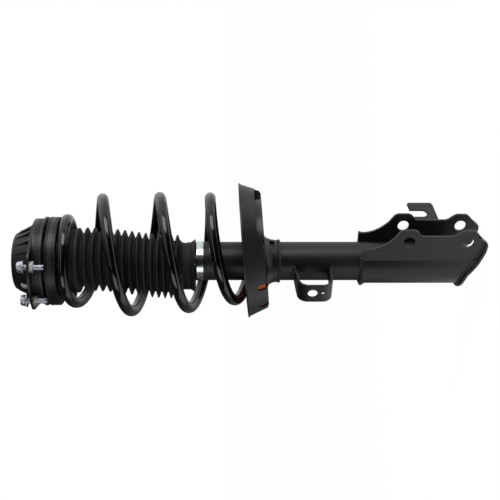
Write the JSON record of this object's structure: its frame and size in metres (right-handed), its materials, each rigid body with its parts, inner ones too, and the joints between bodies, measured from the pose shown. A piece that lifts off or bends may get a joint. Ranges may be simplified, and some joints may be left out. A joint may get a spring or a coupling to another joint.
{
  "type": "suspension strut assembly",
  "caption": "Front suspension strut: top mount and bearing, side-loaded coil spring, bellows boot, twin-tube damper, knuckle clevis, hose and wire brackets.",
  "frame": {"origin": "centre of the upper face of the mounting plate, on the damper axis", "axes": "+Z along the damper axis from the knuckle end to the top mount; +X towards the side on which the knuckle bracket opens; the bracket's plates lie at either side of the XZ plane"},
  "size_m": [0.1763, 0.177, 0.6125],
  "materials": {
    "black_paint": "satin black electrocoat paint on steel",
    "spring_paint": "glossy black powder coat",
    "black_plastic": "satin moulded plastic",
    "black_rubber": "matte rubber",
    "boot_rubber": "matte elastomer bellows",
    "orange_rubber": "matte orange elastomer",
    "bump_foam": "microcellular foam",
    "bright_zinc": "bright zinc plate",
    "yellow_zinc": "pale yellow zinc plate",
    "steel": "plain machined steel",
    "hard_chrome": "ground hard chrome",
    "sintered_iron": "sintered iron",
    "band_polymer": "natural low friction polymer",
    "pale_plug": "pale beige plug"
  },
  "bodies": {
    "top_mount": {"mount_plate": "black_paint", "mount_cup": "black_paint", "cup_plugs": "pale_plug", "mount_rubber": "black_rubber", "mount_sleeve": "steel", "mount_housing": "black_plastic", "mount_bolts": "bright_zinc", "weld_nuts": "yellow_zinc", "rod_nut": "bright_zinc", "rod_washer": "steel", "bearing_upper_race": "steel", "bump_stop_cup": "steel", "bump_stop": "bump_foam", "piston_rod": "hard_chrome", "rebound_stop": "black_rubber", "piston": "sintered_iron", "piston_band": "band_polymer", "piston_nut": "steel"},
    "bearing_cage": {"ball_cage": "band_polymer", "bearing_balls": "hard_chrome"},
    "upper_seat": {"bearing_lower_race": "steel", "upper_spring_seat": "black_plastic", "upper_isolator": "black_rubber", "coil_spring": "spring_paint", "dust_boot": "boot_rubber"},
    "strut_tube": {"damper_tube": "black_paint", "gland_cap": "bright_zinc", "rod_seal": "black_rubber", "rod_guide": "sintered_iron", "pressure_tube": "steel", "base_valve": "sintered_iron", "lower_spring_seat": "black_paint", "lower_spring_pad": "orange_rubber", "knuckle_bracket": "black_paint", "hose_bracket": "black_paint", "wire_bracket": "black_paint"}
  },
  "joints": [
    {"name": "steer", "type": "hinge", "parent": "top_mount", "child": "upper_seat", "pos_m": [0, 0, -0.0195], "axis": [0, 0, 1], "continuous": true},
    {"name": "cage_roll", "type": "hinge", "parent": "top_mount", "child": "bearing_cage", "pos_m": [0, 0, -0.01775], "axis": [0, 0, 1], "continuous": true},
    {"name": "damper", "type": "slide", "parent": "upper_seat", "child": "strut_tube", "axis": [0, 0, 1], "range_m": [0, 0.12], "stiffness_N_per_m": 25000, "springref_m": -0.1, "deforming": ["coil_spring", "dust_boot"]}
  ],
  "couplings": [
    {"joint": "cage_roll", "follows": "steer", "ratio": 0.5}
  ]
}
